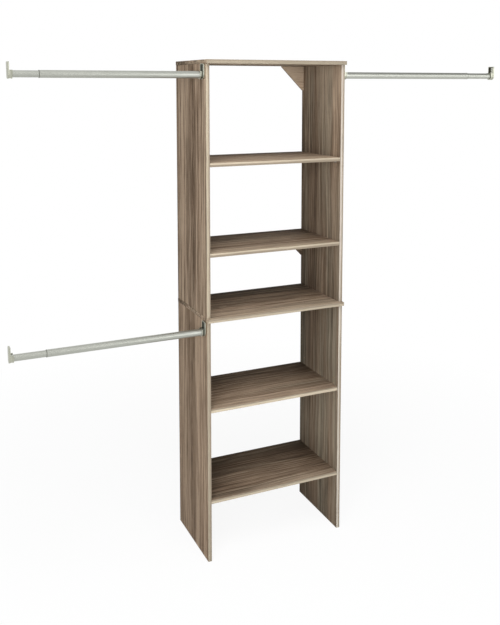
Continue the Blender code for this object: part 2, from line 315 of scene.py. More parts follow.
def laminateMaterial(name, board):
    # the board's grain names the axes along the grain, across it and through the board
    # its bands and ends darken or lighten it across the board and along it, partly as drift of the print and
    # partly as painted light and shade
    look = laminateLook
    graph = newGraph(name)
    axes = graph.axes()
    shift, heart, contrast = board["shift"], board["heart"], board["contrast"]
    grain = board["grain"]
    along, across, through = [graph.math("ADD", axes[axis], start) for axis, start in zip(grain, shift)]

    def grainNoise(kind, acrossPlace):
        settings = look["noises"][kind]
        place = graph.stretched(along, acrossPlace, through, settings["scale"])
        return graph.noise(place, detail=settings["detail"], roughness=settings["roughness"])

    def lineNoise(kind, place, start):
        settings = look["lines"][kind]
        place = graph.math("MULTIPLY", place, settings["perMetre"])
        place = graph.math("ADD", place, start * settings["seed"])
        return graph.noise(place, detail=settings["detail"], roughness=settings["roughness"], line=True)

    waver = graph.math("SUBTRACT", grainNoise("waver", across), 0.5)
    bent = graph.math("ADD", across, graph.math("MULTIPLY", waver, look["waver"] * 2))
    fromHeart = graph.math("SUBTRACT", bent, heart["across"] + shift[1])
    fromEnd = graph.math("SUBTRACT", along, heart["along"] + shift[0])
    depth = graph.math("ADD", graph.math("MULTIPLY", fromEnd, heart["slope"]), heart["depth"])
    # veins are thin dark lines that follow the slopes of a slow noise, as growth rings do
    veinHeight = graph.math("MULTIPLY", grainNoise("veins", bent), look["veinCount"])
    parts = {
        "rings": lineNoise("rings", graph.distance(fromHeart, depth), shift[1]),
        "broad": lineNoise("broad", bent, shift[2]),
        "streaks": grainNoise("streaks", bent),
        "fibres": grainNoise("fibres", bent),
        "veins": graph.greyRamp(graph.math("FRACT", veinHeight), look["veinStops"]),
    }
    total = board["tone"] + 0.5 - contrast * sum(look["shares"].values()) / 2
    for part, share in look["shares"].items():
        total = graph.math("ADD", graph.math("MULTIPLY", parts[part], contrast * share), total)
    for axis, stops in ((grain[1], board["bands"]), (grain[0], board["ends"])):
        if stops:
            total = graph.math("ADD", total, printAndShadeTone(graph, axes[axis], stops))
    tones = [look["dark"], look["middle"], look["light"]]
    colour = graph.ramp(total, list(zip(look["toneStops"], tones)))
    greyStops = [(spot, amount * board["greyShare"]) for spot, amount in look["greyStops"]]
    greyer = graph.greyRamp(grainNoise("grey", bent), greyStops)
    colour = graph.mixColours(greyer, colour, look["grey"], "COLOR")
    pores = graph.greyRamp(grainNoise("pores", bent), look["poreStops"])
    graph.setColour(graph.mixColours(pores, colour, look["dark"]))
    graph.setRoughness(parts["fibres"], *look["roughness"])
    graph.shader.inputs["Specular IOR Level"].default_value = look["sheen"]
    height = graph.math("SUBTRACT", graph.math("MULTIPLY", parts["fibres"], look["fibreHeight"]), pores)
    graph.bump(height, *look["bump"])
    return graph.owner


bandLook = {
    "sheen": 0.25,
    "roughness": (0.42, 0.15),
    "pale": (0.335, 0.283, 0.212),
    "tan": (0.215, 0.174, 0.128),
    "line": (0.150, 0.116, 0.085),
    "lineStops": [(0.28, 0.55), (0.5, 0.0)],
    "streaks": {"scale": (9.0, 420.0), "seed": 11, "detail": 3.0, "roughness": 0.6},
    "wander": {"scale": 3.0, "seed": 9, "detail": 3.0, "amount": 0.5},
    "softness": 0.08,
    "bump": (0.25, 0.0001),
}


def bandMaterial(name, board, centre):
    # the two-tone strip on a front edge, with the board's split as the share of its width that is pale
    # a split below 0 puts the pale part on the other side
    look = bandLook
    graph = newGraph(name)
    axes = graph.axes()
    thin = board["grain"][2]
    along, across = axes[board["grain"][0]], axes[thin]
    settings = look["wander"]
    wanderPlace = graph.vector(graph.math("MULTIPLY", along, settings["scale"]),
                               centre.x * settings["seed"], centre.z * settings["seed"])
    wander = graph.math("SUBTRACT", graph.noise(wanderPlace, detail=settings["detail"]), 0.5)
    offset = graph.math("SUBTRACT", across, centre["XYZ".index(thin)])
    offset = graph.math("DIVIDE", offset, boardLook["thickness"])
    offset = graph.math("ADD", offset, graph.math("MULTIPLY", wander, settings["amount"]))
    if board["split"] < 0:
        offset = graph.math("MULTIPLY", offset, -1.0)
    border, soft = abs(board["split"]), look["softness"]
    side = graph.greyRamp(graph.math("ADD", offset, 0.5), [(border - soft, 0.0), (border + soft, 1.0)])
    settings = look["streaks"]
    alongScale, acrossScale = settings["scale"]
    streakPlace = graph.vector(graph.math("MULTIPLY", along, alongScale),
                               graph.math("MULTIPLY", across, acrossScale), centre.x * settings["seed"])
    streaks = graph.noise(streakPlace, detail=settings["detail"], roughness=settings["roughness"])
    # the board's band shade scales the pale colour to how brightly that edge is lit: painted light and shade
    pale = tuple(board["bandShade"] * part * share for part, share in zip(look["pale"], board["bandTint"]))
    colour = graph.mixColours(side, pale, look["tan"])
    graph.setColour(graph.mixColours(graph.greyRamp(streaks, look["lineStops"]), colour, look["line"]))
    graph.setRoughness(streaks, *look["roughness"])
    graph.shader.inputs["Specular IOR Level"].default_value = look["sheen"]
    graph.bump(streaks, *look["bump"])
    return graph.owner


coreLook = {"chipsPerMetre": 700.0, "colours": [(0.3, (0.16, 0.10, 0.06)), (0.7, (0.42, 0.30, 0.18))],
            "roughness": 0.9, "bump": (0.6, 0.0003)}


def coreMaterial():
    # pressed chips, seen inside the peg holes
    look = coreLook
    graph = newGraph("chipboard_core")
    chips = graph.noise(graph.vector(*graph.axes().values()), scale=look["chipsPerMetre"])
    graph.setColour(graph.ramp(chips, look["colours"]))
    graph.shader.inputs["Roughness"].default_value = look["roughness"]
    graph.bump(chips, *look["bump"])
    return graph.owner


# each brush is the scale of its scratches along X and across it, per metre
metalLook = {
    "rod": {"colour": (0.47, 0.48, 0.435), "worn": (0.43, 0.44, 0.395), "roughness": 0.42,
            "brush": (6.0, 900.0), "uneven": 0.08, "bump": 0.04},
    "bracket": {"colour": (0.50, 0.505, 0.42), "worn": (0.40, 0.405, 0.34), "roughness": 0.36,
                "brush": (160.0, 260.0), "uneven": 0.2, "bump": 0.1},
    # painted shade: the dark tray floors and the dark neck stand in for the shadow inside the tray and round
    # the cup
    "wallRecessShade": {"colour": (0.11, 0.11, 0.085), "worn": (0.07, 0.07, 0.055), "roughness": 0.45,
                   "brush": (160.0, 260.0), "uneven": 0.2, "bump": 0.15},
    "towerRecessShade": {"colour": (0.16, 0.165, 0.135), "worn": (0.10, 0.105, 0.085), "roughness": 0.45,
                    "brush": (160.0, 260.0), "uneven": 0.2, "bump": 0.15},
    "neckShade": {"colour": (0.11, 0.115, 0.09), "worn": (0.065, 0.07, 0.055), "roughness": 0.45,
             "brush": (160.0, 260.0), "uneven": 0.2, "bump": 0.15},
    "screw": {"colour": (0.035, 0.035, 0.033), "worn": (0.02, 0.02, 0.02), "roughness": 0.42,
              "brush": (500.0, 500.0), "uneven": 0.2, "bump": 0.1},
    "pin": {"colour": (0.30, 0.29, 0.26), "worn": (0.20, 0.19, 0.17), "roughness": 0.4,
            "brush": (500.0, 500.0), "uneven": 0.2, "bump": 0.1},
}
wearLook = {"cloudsPerMetre": 34.0, "cloudDetail": 3.0, "stops": [(0.4, 0.0), (0.75, 0.6)],
            "brushRoughness": 0.6, "brushDepth": 0.00005}


def metalMaterial(name, kind):
    look = metalLook[kind]
    graph = newGraph(name)
    axes = graph.axes()
    spot = graph.stretched(axes["X"], axes["Y"], axes["Z"], look["brush"])
    brush = graph.noise(spot, roughness=wearLook["brushRoughness"])
    cloud = graph.noise(graph.vector(*axes.values()), wearLook["cloudsPerMetre"], wearLook["cloudDetail"])
    wear = graph.greyRamp(cloud, wearLook["stops"])
    graph.setColour(graph.mixColours(wear, look["colour"], look["worn"]))
    graph.shader.inputs["Metallic"].default_value = 1.0
    graph.setRoughness(graph.math("SUBTRACT", brush, 0.5), look["roughness"], look["uneven"])
    graph.bump(brush, look["bump"], wearLook["brushDepth"])
    return graph.owner


dowelLook = {"grain": (700.0, 700.0, 40.0), "grainDetail": 3.0,
             "colours": [(0.3, (0.42, 0.27, 0.15)), (0.7, (0.66, 0.47, 0.29))],
             "roughness": 0.7, "bump": (0.3, 0.0002)}


def dowelMaterial():
    look = dowelLook
    graph = newGraph("beech_dowel")
    spots = [graph.math("MULTIPLY", axis, scale) for axis, scale in zip(graph.axes().values(), look["grain"])]
    grain = graph.noise(graph.vector(*spots), detail=look["grainDetail"])
    graph.setColour(graph.ramp(grain, look["colours"]))
    graph.shader.inputs["Roughness"].default_value = look["roughness"]
    graph.bump(grain, *look["bump"])
    return graph.owner


# boards
boardLook = {
    "thickness": 0.0159,
    "edgeRadius": 0.0008,
    "edgeSteps": 3,
    "bandDepth": 0.0009,
    "holeClearance": 0.0003,
    "pegRadius": 0.0024,
    "pegReach": 0.0085,
    "holePitch": 0.0254,
    "holesBelow": {"lower": 2, "upper": 1},
    "holesAbove": {"lower": 2, "upper": 3},
    "dowelRadius": 0.004,
    "screwRadius": 0.0019,
    "holeSides": 24,
}

sideGrain, flatGrain, gussetGrain = "ZYX", "XYZ", "XZY"

# the print, and the painted light and shade, where a board has nothing of its own
plainBoard = {
    "grain": flatGrain, "tone": 0.0, "contrast": 0.46, "greyShare": 0.55, "ends": None,
    "bandShade": 1.0, "bandTint": (1.0, 1.0, 1.0),
    # painted light and shade: lighter at the front edge, darker towards the back, where less light reaches
    "bands": [(-0.186, 0.11), (-0.14, 0.05), (-0.09, 0.02), (0.0, 0.0), (0.08, -0.04), (0.186, -0.10)],
}
# besides print drift, the tones, bands and ends below are painted light and shade, matched to how lit each
# board is: darker backs and shelf ends, darker or lighter ends of the right panels
boards = {
    "lower_left_side_panel": {
        "grain": sideGrain, "shift": (0.3, 1.1, 0.2), "contrast": 0.42, "greyShare": 0.15,
        "split": 0.62, "bandShade": 0.80,
        "bands": [(-0.169, -0.02), (-0.13, 0.05), (-0.06, 0.02), (0.0, -0.04), (0.07, -0.01), (0.12, 0.04),
                  (0.185, -0.03)],
        "heart": {"across": 0.02, "along": 0.45, "slope": 0.10, "depth": 0.02},
    },
    "lower_right_side_panel": {
        "grain": sideGrain, "shift": (2.1, 3.9, 1.3), "contrast": 0.26, "greyShare": 1.0,
        "split": 0.55, "bandShade": 1.2, "bandTint": (0.98, 1.03, 1.17),
        "bands": [(-0.169, -0.05), (-0.12, -0.02), (0.0, -0.03), (0.08, -0.05), (0.185, -0.07)],
        "ends": [(0.0, -0.05), (0.2, -0.02), (0.4, 0.01), (0.62, 0.0), (0.72, -0.04), (1.03, -0.05)],
        "heart": {"across": 0.30, "along": 0.80, "slope": 0.05, "depth": 0.05},
    },
    "upper_left_side_panel": {
        "grain": sideGrain, "shift": (4.9, 0.4, 2.6), "contrast": 0.66, "greyShare": 0.2,
        "split": 0.62,
        "bands": [(-0.169, -0.04), (-0.15, 0.03), (-0.07, 0.06), (-0.05, -0.04), (0.04, -0.05), (0.08, 0.05),
                  (0.15, 0.02), (0.185, -0.05)],
        "heart": {"across": -0.02, "along": 1.60, "slope": 0.09, "depth": 0.015},
    },
    "upper_right_side_panel": {
        "grain": sideGrain, "shift": (7.7, 5.2, 3.1), "contrast": 0.36, "greyShare": 0.75,
        "split": 0.55, "bandShade": 1.18, "bandTint": (1.01, 1.04, 1.19),
        "bands": [(-0.169, -0.04), (-0.14, 0.0), (0.0, 0.0), (0.04, -0.05), (0.12, -0.05), (0.185, -0.08)],
        "ends": [(1.06, -0.06), (1.3, -0.03), (1.7, -0.03), (1.95, 0.03), (2.08, 0.09)],
        "heart": {"across": 0.28, "along": 1.20, "slope": 0.06, "depth": 0.04},
    },
    "middle_panel": {
        "shift": (1.4, 2.3, 4.2), "split": 0.55, "bandShade": 0.98,
        "ends": [(-0.32, 0.0), (0.0, 0.0), (0.32, -0.02)],
        "heart": {"across": -0.03, "along": 0.10, "slope": 0.16, "depth": 0.01},
    },
    "top_panel": {
        "shift": (3.6, 4.4, 5.5), "split": 0.62, "bandShade": 0.74,
        "heart": {"across": 0.05, "along": -0.20, "slope": 0.12, "depth": 0.02},
    },
    "lower_fixed_shelf": {
        "shift": (5.8, 6.5, 0.9), "tone": -0.04, "contrast": 0.40, "split": 0.66, "bandShade": 1.08,
        "ends": [(-0.31, -0.09), (-0.1, -0.01), (0.12, 0.0), (0.31, -0.08)],
        "heart": {"across": 0.0, "along": -0.05, "slope": 0.15, "depth": 0.01},
    },
    "upper_fixed_shelf": {
        "shift": (8.1, 7.6, 1.8), "split": -0.42, "bandShade": 1.12,
        "ends": [(-0.31, 0.0), (0.1, 0.0), (0.31, -0.08)],
        "heart": {"across": 0.08, "along": -0.30, "slope": 0.10, "depth": 0.03},
    },
    "lower_adjustable_shelf": {
        "shift": (9.3, 8.7, 2.7), "tone": 0.01, "contrast": 0.38, "split": 0.70, "bandShade": 1.28,
        "ends": [(-0.31, -0.04), (-0.1, 0.0), (0.1, 0.0), (0.31, -0.09)],
        "heart": {"across": 0.02, "along": 0.25, "slope": 0.14, "depth": 0.01},
    },
    "upper_adjustable_shelf": {
        "shift": (6.2, 9.8, 3.6), "tone": 0.07, "split": -0.42, "bandShade": 1.16,
        "heart": {"across": -0.05, "along": 0.0, "slope": 0.13, "depth": 0.02},
    },
}


def fasteners(node, word):
    # the small solids with this word in their name that reach into the board's box, with their boxes
    low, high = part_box(node)
    found = []
    for other in frame["nodes"]:
        if word in other:
            otherLow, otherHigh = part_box(other)
            if all(otherLow[i] < high[i] and otherHigh[i] > low[i] for i in range(3)):
                found.append((other, otherLow, otherHigh))
    return found


def holeCutters(node):
    look = boardLook
    spare = look["holeClearance"]
    low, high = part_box(node)
    cutters = []

    def addHole(radius, start, end, axis, centre):
        cutters.append(addCylinder(radius + spare, start, end, axis, centre, look["holeSides"]))

    for _, dowelLow, dowelHigh in fasteners(node, "dowel"):
        addHole(look["dowelRadius"], dowelLow.z - spare, dowelHigh.z + spare, "Z", (dowelLow + dowelHigh) / 2)
    for _, screwLow, screwHigh in fasteners(node, "bracket_screw"):
        addHole(look["screwRadius"], screwLow.x - spare, screwHigh.x + spare, "X", (screwLow + screwHigh) / 2)
    for name, pinLow, pinHigh in fasteners(node, "shelf_pin"):
        unit = name.split("_")[0]
        inner, outward = (high.x, -1) if "_left_" in name else (low.x, 1)
        bottom = inner + outward * (look["pegReach"] + spare)
        mouth = inner - outward * 2 * spare
        for step in range(-look["holesBelow"][unit], look["holesAbove"][unit] + 1):
            centre = (pinLow + pinHigh) / 2 + Vector((0, 0, step * look["holePitch"]))
            addHole(look["pegRadius"], min(bottom, mouth), max(bottom, mouth), "X", centre)
    return cutters


def makeBoard(node, board, core):
    look = boardLook
    low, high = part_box(node)
    piece = addBlock(low, high)
    roundEdges(piece, look["edgeRadius"], look["edgeSteps"])
    bandLine = low.y + look["bandDepth"]
    startEdit(piece)
    bpy.ops.mesh.select_all(action="SELECT")
    bpy.ops.mesh.bisect(plane_co=(0, bandLine, 0), plane_no=(0, 1, 0))
    endEdit()
    face = laminateMaterial(node + "_laminate", board)
    band = bandMaterial(node + "_band", board, (low + high) / 2)
    for material in (face, band, core):
        piece.data.materials.append(material)
    for polygon in piece.data.polygons:
        polygon.material_index = 1 if polygon.center.y < bandLine else 0
    cutters = holeCutters(node)
    if cutters:
        cutter = joinPieces(cutters)
        cutter.data.materials.append(core)
        combine(piece, cutter, "DIFFERENCE")
    finishPiece(piece, node + "_board", node, [face, band, core])


chipCore = coreMaterial()
for boardNode, boardSettings in boards.items():
    makeBoard(boardNode, {**plainBoard, **boardSettings}, chipCore)
print("boards done")

# gussets
gussetLook = {
    "edgeRadius": 0.0007, "edgeSteps": 3, "blunt": 0.003,
    # painted light and shade: the top gussets lighter against the shadow of the top panel, the shelf gussets
    # darker in the shade under their shelf
    "tone": {"top": 0.17, "shelf": -0.05}, "contrast": 0.7, "greyShare": 0.3,
    "bands": [(0.0, -0.05), (0.6, 0.0), (1.0, 0.07)],  # by the share of the height, lighter towards the top as painted light against the shadow of the board above
    "shiftStep": (1.7, 0.6, 0.9), "heartDrop": 0.2, "heart": {"slope": 0.05, "depth": 0.1},
}


def makeGusset(node, number):
    look = gussetLook
    low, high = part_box(node)
    piece = addBlock(low, high)
    toSide = -1 if "_left_" in node else 1
    # the corner away from the side panel and the shelf is cut off at 45 degrees
    cutPlace = Vector((high.x if toSide < 0 else low.x, low.y, high.z - look["blunt"]))
    cutWay = Vector((-toSide, 0, -1)).normalized()
    startEdit(piece)
    bpy.ops.mesh.select_all(action="SELECT")
    bpy.ops.mesh.bisect(plane_co=cutPlace, plane_no=cutWay, use_fill=True, clear_outer=True)
    endEdit()
    roundEdges(piece, look["edgeRadius"], look["edgeSteps"])
    board = {
        "grain": gussetGrain, "shift": [number * step for step in look["shiftStep"]],
        "tone": look["tone"][node.split("_")[2]], "contrast": look["contrast"],
        "greyShare": look["greyShare"], "ends": None,
        "bands": [(low.z + share * (high.z - low.z), tone) for share, tone in look["bands"]],
        "heart": {"across": low.z - look["heartDrop"], "along": low.x, **look["heart"]},
    }
    finishPiece(piece, node + "_board", node, [laminateMaterial(node + "_laminate", board)])


gussetNodes = sorted(name for name in frame["nodes"] if name.endswith("gusset"))
for gussetNumber, gussetNode in enumerate(gussetNodes):
    makeGusset(gussetNode, gussetNumber + 1)
print("gussets done")


# turned pieces: tubes, screws and pegs, drawn along X as rings of (x, radius)
def startRing(rings, sides, filled):
    x, radius = rings[0]
    deselectAll()
    bpy.ops.mesh.primitive_circle_add(vertices=sides, radius=radius, location=(x, 0, 0),
                                      rotation=(0, math.pi / 2, 0), fill_type="NGON" if filled else "NOTHING")
    piece = bpy.context.object
    applyPlace(piece)
    return piece


def drawRings(rings):
    # draws the selected ring on to each next one
    for (x, radius), (nextX, nextRadius) in zip(rings, rings[1:]):
        bpy.ops.mesh.extrude_region_move(TRANSFORM_OT_translate={"value": (nextX - x, 0, 0)})
        share = nextRadius / radius
        bpy.ops.transform.resize(value=(1, share, share), center_override=(nextX, 0, 0))
    bpy.ops.mesh.select_all(action="SELECT")
    bpy.ops.mesh.remove_doubles(threshold=mergeDistance)


def turnPiece(rings, sides, filled):
    piece = startRing(rings, sides, filled)
    startEdit(piece, "FACE" if filled else "EDGE")
    bpy.ops.mesh.select_all(action="SELECT")
    drawRings(rings)
    bpy.ops.mesh.normals_make_consistent(inside=False)
    endEdit()
    return piece


def copyPiece(master, name):
    piece = bpy.data.objects.new(name, master.data.copy())
    bpy.context.scene.collection.objects.link(piece)
    return piece


def placePiece(piece, spot, side):
    # turns a piece drawn along +X to its side, and moves it to its spot
    piece.location = spot
    piece.rotation_euler = (0, 0, 0 if side > 0 else math.pi)
    applyPlace(piece)


def placeInBox(piece, node, side):
    low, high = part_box(node)
    middle = (low + high) / 2
    placePiece(piece, (low.x if side > 0 else high.x, middle.y, middle.z), side)


tubeLook = {"radius": 0.0143, "wall": 0.0011, "fit": 0.0003, "rim": 0.0003, "lip": 0.003, "lipRise": 0.0006,
            "groove": 0.018, "grooveWidth": 0.0016, "grooveDepth": 0.0004, "cutEdge": 0.0012, "sides": 64}
innerRadius = tubeLook["radius"] - tubeLook["wall"] - tubeLook["fit"]


def makeOuterTube(node, side, metal, edgeAndShadowMetal):
    look = tubeLook
    low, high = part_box(node)
    start, end = 0.0, high.x - low.x
    radius, bore, rim = look["radius"], look["radius"] - look["wall"], look["rim"]
    lip, lipRadius = end - look["lip"], look["radius"] + look["lipRise"]
    cutEdge = end - look["cutEdge"]
    groove, half = end - look["groove"], look["grooveWidth"] / 2
    grooveRadius = radius - look["grooveDepth"]
    rings = [(start + rim, radius), (groove - half, radius), (groove - half / 2, grooveRadius),
             (groove + half / 2, grooveRadius), (groove + half, radius),
             (lip - rim, radius), (lip, radius + rim), (lip + rim, lipRadius),
             (cutEdge, lipRadius), (end - rim, lipRadius), (end, lipRadius - rim),
             (end, bore + rim), (end - rim, bore), (start + rim, bore),
             (start, bore + rim), (start, radius - rim), (start + rim, radius)]
    piece = turnPiece(rings, look["sides"], False)
    piece.data.materials.append(metal)
    piece.data.materials.append(edgeAndShadowMetal)
    # the end ring and the last of the lip are dark: bare cut steel on the end, and painted shadow of the gap
    # at the step on the lip
    for polygon in piece.data.polygons:
        polygon.material_index = 1 if polygon.center.x > cutEdge else 0
    placeInBox(piece, node, side)
    finishPiece(piece, node + "_satin", node, [])


def makeInnerTube(node, side, metal):
    look = tubeLook
    low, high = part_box(node)
    length = high.x - low.x
    radius, rim = innerRadius, look["rim"]
    bore = radius - look["wall"]
    rings = [(rim, radius), (length - rim, radius), (length, radius - rim), (length, bore + rim),
             (length - rim, bore), (rim, bore), (0.0, bore + rim), (0.0, radius - rim), (rim, radius)]
    piece = turnPiece(rings, look["sides"], False)
    placeInBox(piece, node, side)
    finishPiece(piece, node + "_satin", node, [metal])


# rod brackets: a shallow tray with an open cup at its foot
bracketLook = {
    "rise": 0.044, "halfWidth": 0.0175, "base": 0.002, "rim": 0.0022, "depth": 0.0066, "corner": 0.0045,
    "cupWall": 0.0016, "cupDepth": 0.018, "cupLip": 0.004, "lipRound": 0.0007, "cupSides": 48,
    "edgeRound": 0.0005, "edgeSteps": 2, "edgeAngle": 50, "footSteps": 20, "cornerSteps": 5,
    "screwRises": (0.037, 0.028, 0.019), "holeRadius": 0.0022, "holeSides": 24, "cupMargin": 0.0004,
    "trayMerge": 0.00005, "castMerge": 0.000005, "smoothAngle": 35,
}


def makeTray():
    look = bracketLook
    height = look["rise"] + look["halfWidth"]
    deselectAll()
    bpy.ops.mesh.primitive_plane_add(size=1, location=(0, 0, look["rise"] - height / 2),
                                     rotation=(0, math.pi / 2, 0))
    tray = bpy.context.object
    tray.scale = (height, 2 * look["halfWidth"], 1)
    applyPlace(tray)
    startEdit(tray, "VERT")
    # the lower corners become the round foot, and the upper ones get a small radius
    selectWhere(tray, "vertices", lambda vertex: vertex.co.z < 0)
    bpy.ops.mesh.bevel(offset=look["halfWidth"], segments=look["footSteps"], affect="VERTICES")
    selectWhere(tray, "vertices", lambda vertex: vertex.co.z > look["rise"] - slack)
    bpy.ops.mesh.bevel(offset=look["corner"], segments=look["cornerSteps"], affect="VERTICES")
    bpy.ops.mesh.select_all(action="SELECT")
    bpy.ops.mesh.remove_doubles(threshold=look["trayMerge"])
    bpy.ops.mesh.select_mode(type="FACE")
    bpy.ops.mesh.select_all(action="SELECT")
    # up to the rim, in by its width and down to the floor
    bpy.ops.mesh.extrude_region_move(TRANSFORM_OT_translate={"value": (look["depth"], 0, 0)})
    bpy.ops.mesh.inset(thickness=look["rim"])
    bpy.ops.mesh.extrude_region_move(TRANSFORM_OT_translate={"value": (look["base"] - look["depth"], 0, 0)})
    bpy.ops.mesh.select_all(action="SELECT")
    bpy.ops.mesh.normals_make_consistent(inside=False)
    endEdit()
    applyModifier(tray, "BEVEL", width=look["edgeRound"], segments=look["edgeSteps"], limit_method="ANGLE",
                  angle_limit=math.radians(look["edgeAngle"]))
    return tray


def makeCup(held):
    # held: the radius of the tube in the cup
    look = bracketLook
    bore = held + tubeLook["fit"]
    outer = tubeLook["radius"] + tubeLook["fit"] + look["cupWall"]
    lip, soft = look["halfWidth"], look["lipRound"]
    start, end = look["base"] / 2, look["cupDepth"]
    step = end - look["cupLip"]
    rings = [(start, outer), (step - soft, outer), (step, lip - soft / 2), (step + soft, lip),
             (end - soft, lip), (end, lip - soft), (end, bore + soft), (end - soft, bore),
             (start, bore), (start, outer)]
    cup = startRing(rings, look["cupSides"], False)
    startEdit(cup, "VERT")
    # the upper half of the ring gives way to two straight walls
    selectWhere(cup, "vertices", lambda vertex: vertex.co.z > slack)
    bpy.ops.mesh.delete(type="VERT")
    selectWhere(cup, "vertices", lambda vertex: vertex.co.z > -slack)
    bpy.ops.mesh.extrude_region_move(TRANSFORM_OT_translate={"value": (0, 0, 2 * outer)})
    bpy.ops.mesh.select_mode(type="EDGE")
    bpy.ops.mesh.select_all(action="SELECT")
    drawRings(rings)
    bpy.ops.mesh.bisect(plane_co=(0, 0, tubeLook["radius"]), plane_no=(0, 0, 1), use_fill=True,
                        clear_outer=True)
    bpy.ops.mesh.select_all(action="SELECT")
    bpy.ops.mesh.normals_make_consistent(inside=False)
    endEdit()
    return cup


def makeBracket(held, metals):
    # metals: of the bracket, of the tray's floor with painted shade, and of the cup's neck with painted
    # shadow
    look = bracketLook
    bracket = makeTray()
    combine(bracket, makeCup(held), "UNION")
    radius, base, sides = look["holeRadius"], look["base"], look["holeSides"]
    holes = [addCylinder(radius, -base, 2 * base, "X", (0, 0, rise), sides) for rise in look["screwRises"]]
    combine(bracket, joinPieces(holes), "DIFFERENCE")
    startEdit(bracket, "VERT")
    bpy.ops.mesh.select_all(action="SELECT")
    bpy.ops.mesh.remove_doubles(threshold=look["castMerge"])
    bpy.ops.mesh.fill_holes(sides=4)
    endEdit()
    bracket.data.materials.clear()
    for material in metals:
        bracket.data.materials.append(material)
    inside = look["halfWidth"] - look["rim"] + slack
    top = look["rise"] - look["rim"] + slack
    cupSide = tubeLook["radius"] + look["cupWall"] + look["cupMargin"]
    neckSide = held + tubeLook["fit"] + look["cupWall"] / 2
    for polygon in bracket.data.polygons:
        x, y, z = polygon.center
        away = math.hypot(y, z)
        deep = x < look["depth"] - look["edgeRound"] and abs(y) < inside and z < top
        pastFoot = z < 0 and away > inside
        facing = x > base - slack and away > cupSide
        neckShade = look["depth"] + look["edgeRound"] < x < look["cupDepth"] - look["cupLip"] and away > neckSide
        # the tray's floor and the neck take the darker metals, as painted shade
        polygon.material_index = 2 if neckShade else 1 if deep and facing and not pastFoot else 0
    return bracket


def placeBracket(master, node, side):
    low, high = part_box(node)
    bracket = copyPiece(master, node + "_cast")
    axisHeight = high.z - bracketLook["rise"]
    placePiece(bracket, (low.x if side > 0 else high.x, (low.y + high.y) / 2, axisHeight), side)
    finishPiece(bracket, node + "_cast", node, [], bracketLook["smoothAngle"])


screwLook = {
    "length": 0.0145, "shank": 0.0019, "tip": 0.0006, "tipLength": 0.003,
    "head": 0.0036, "headHeight": 0.0022,
    "crown": [(0.35, 1), (0.62, 0.9), (0.84, 0.7)],  # shares of the head's height and radius
    "crownTop": 0.38,
    "recess": 0.0011, "recessLength": 0.0042, "recessWidth": 0.0007, "sides": 32,
}


def makeScrew():
    look = screwLook
    length, head, crown = look["length"], look["head"], look["headHeight"]
    seat = length - crown
    rings = [(0.0, look["tip"]), (look["tipLength"], look["shank"]), (seat, look["shank"]), (seat, head)]
    rings += [(seat + crown * height, head * width) for height, width in look["crown"]]
    rings.append((length, head * look["crownTop"]))
    screw = turnPiece(rings, look["sides"], True)
    thin, wide, deep = look["recessWidth"], look["recessLength"], look["recess"]
    for across, along in ((thin, wide), (wide, thin)):
        arm = addBlock((length - deep, -across / 2, -along / 2), (length + deep, across / 2, along / 2))
        combine(screw, arm, "DIFFERENCE")
    screw.data.materials.clear()  # the cut leaves an empty slot
    return screw


def placeScrew(master, node, side, metal):
    screw = copyPiece(master, node + "_turned")
    placeInBox(screw, node, side)
    finishPiece(screw, node + "_turned", node, [metal])


rodMetal = metalMaterial("rod_satin_nickel", "rod")
bracketMetal = metalMaterial("bracket_satin_nickel", "bracket")
cutEdgeShadeMetal = metalMaterial("rod_cut_edge_and_painted_shadow", "wallRecessShade")
screwMetal = metalMaterial("screw_black_zinc", "screw")
pinMetal = metalMaterial("pin_nickel", "pin")
towerRecessShade = metalMaterial("tower_bracket_painted_shade", "towerRecessShade")
neckShadeMetal = metalMaterial("bracket_neck_painted_shadow", "neckShade")
wallRecessShade = metalMaterial("wall_bracket_painted_shade", "wallRecessShade")
leftBracket = makeBracket(tubeLook["radius"], (bracketMetal, towerRecessShade, neckShadeMetal))
rightBracket = makeBracket(tubeLook["radius"], (bracketMetal, towerRecessShade, bracketMetal))
wallBracket = makeBracket(innerRadius, (bracketMetal, wallRecessShade, bracketMetal))
bracketScrew = makeScrew()
for rodName, rodSide in (("left_upper_rod", -1), ("left_lower_rod", -1), ("right_upper_rod", 1)):
    makeOuterTube(rodName + "_outer_tube", rodSide, rodMetal, cutEdgeShadeMetal)
    makeInnerTube(rodName + "_inner_tube", -rodSide, rodMetal)
    placeBracket(leftBracket if rodSide < 0 else rightBracket, rodName + "_tower_bracket", rodSide)
    placeBracket(wallBracket, rodName + "_wall_bracket", -rodSide)
    for screwNumber in (1, 2, 3):
        placeScrew(bracketScrew, f"{rodName}_bracket_screw_{screwNumber}", rodSide, screwMetal)
for masterPiece in (leftBracket, rightBracket, wallBracket, bracketScrew):
    bpy.data.objects.remove(masterPiece, do_unlink=True)
print("rods, brackets and screws done")

# shelf pins
pinLook = {"peg": 0.0085, "pegRadius": 0.0024, "pegTaper": 0.0005, "sides": 24, "gap": 0.0003,
           "head": 0.0062, "width": 0.0086, "height": 0.0076, "edge": 0.0009, "edgeSteps": 3}


def makePin():
    # the peg points along +X from the panel's face at 0, and the head is in front of the face
    look = pinLook
    back = -look["gap"]
    head = addBlock((back - look["head"], -look["width"] / 2, -look["height"] / 2),
                    (back, look["width"] / 2, look["height"] / 2))
    roundEdges(head, look["edge"], look["edgeSteps"])
    pegEnd, radius, taper = look["peg"] - look["gap"], look["pegRadius"], look["pegTaper"]
    rings = [(back - look["head"] / 2, radius), (pegEnd - taper, radius), (pegEnd, radius - taper)]
    combine(head, turnPiece(rings, look["sides"], True), "UNION")
    head.data.materials.clear()
    return head


